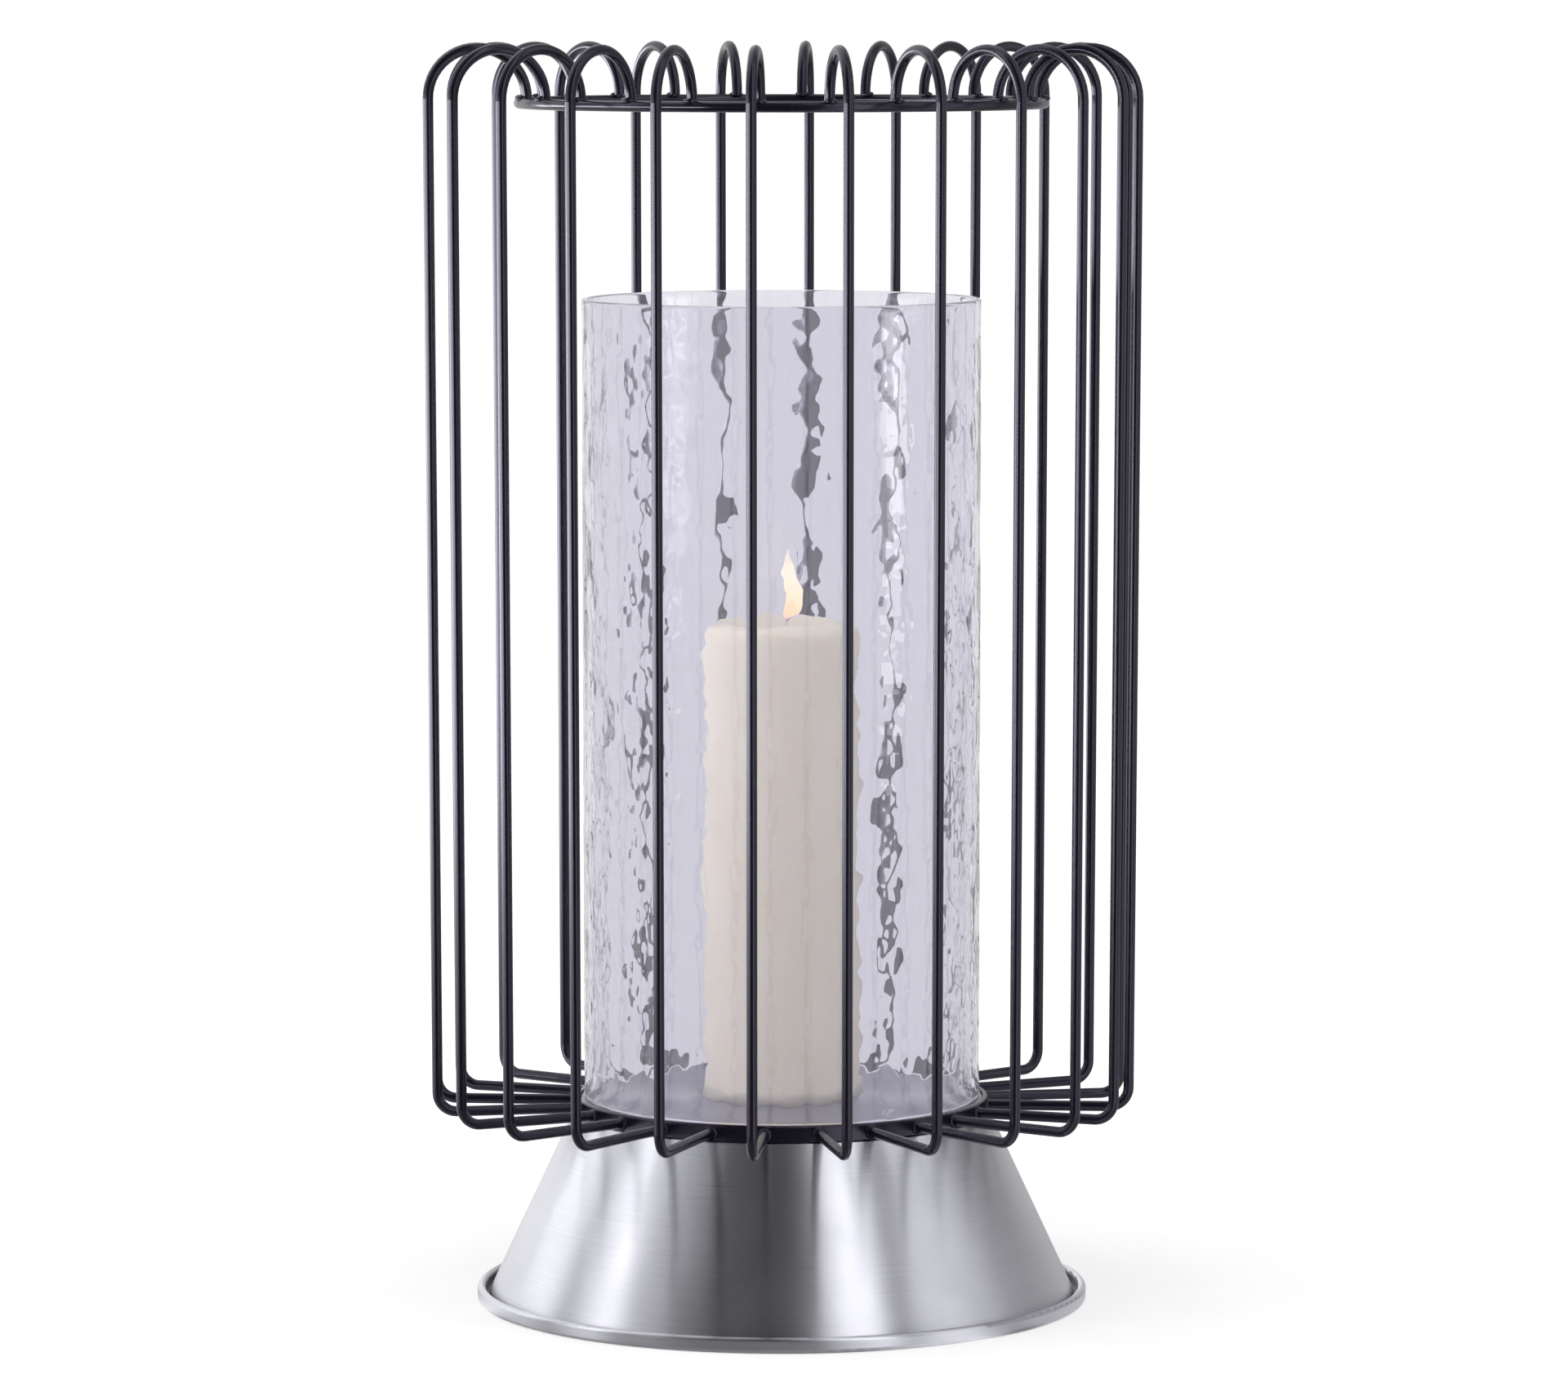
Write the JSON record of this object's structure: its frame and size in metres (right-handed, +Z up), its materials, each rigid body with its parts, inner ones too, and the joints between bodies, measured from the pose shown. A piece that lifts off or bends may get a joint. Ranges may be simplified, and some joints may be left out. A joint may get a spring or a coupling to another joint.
{
  "type": "hurricane candle lantern",
  "caption": "Candle lantern: a glass sleeve over a pillar candle on a conical metal base, inside an open cage of hooked black wires; glass and candle lift out.",
  "frame": {"origin": "on the table, on the lantern's axis", "axes": "+Z up along the lantern's axis; the picture looks along +Y, with +X to the right"},
  "size_m": [0.274, 0.274, 0.4812],
  "materials": {
    "spun_metal": "spun and finely brushed round the axis",
    "black_wire": "satin black coating",
    "plated_screw": "zinc plated",
    "clear_glass": "clear with a faint lavender tint, hammered on the outside",
    "ivory_wax": "soft ivory wax",
    "wick_cotton": "braided cotton, charred at the tip"
  },
  "bodies": {
    "lantern": {"base_shell": "spun_metal", "cage_hoop": "black_wire", "cage_top_ring": "black_wire", "cage_screws": "plated_screw", "cage_wire_01": "black_wire", "cage_wire_02": "black_wire", "cage_wire_03": "black_wire", "cage_wire_04": "black_wire", "cage_wire_05": "black_wire", "cage_wire_06": "black_wire", "cage_wire_07": "black_wire", "cage_wire_08": "black_wire", "cage_wire_09": "black_wire", "cage_wire_10": "black_wire", "cage_wire_11": "black_wire", "cage_wire_12": "black_wire", "cage_wire_13": "black_wire", "cage_wire_14": "black_wire", "cage_wire_15": "black_wire", "cage_wire_16": "black_wire", "cage_wire_17": "black_wire", "cage_wire_18": "black_wire", "cage_wire_19": "black_wire", "cage_wire_20": "black_wire", "cage_wire_21": "black_wire", "cage_wire_22": "black_wire", "cage_wire_23": "black_wire", "cage_wire_24": "black_wire"},
    "glass": {"glass_cylinder": "clear_glass"},
    "candle": {"candle_body": "ivory_wax", "candle_wick": "wick_cotton"}
  },
  "joints": [
    {"name": "glass_lift", "type": "slide", "parent": "lantern", "child": "glass", "axis": [0, 0, 1], "range_m": [0, 0.41]},
    {"name": "candle_lift", "type": "slide", "parent": "lantern", "child": "candle", "axis": [0, 0, 1], "range_m": [0, 0.41]}
  ]
}
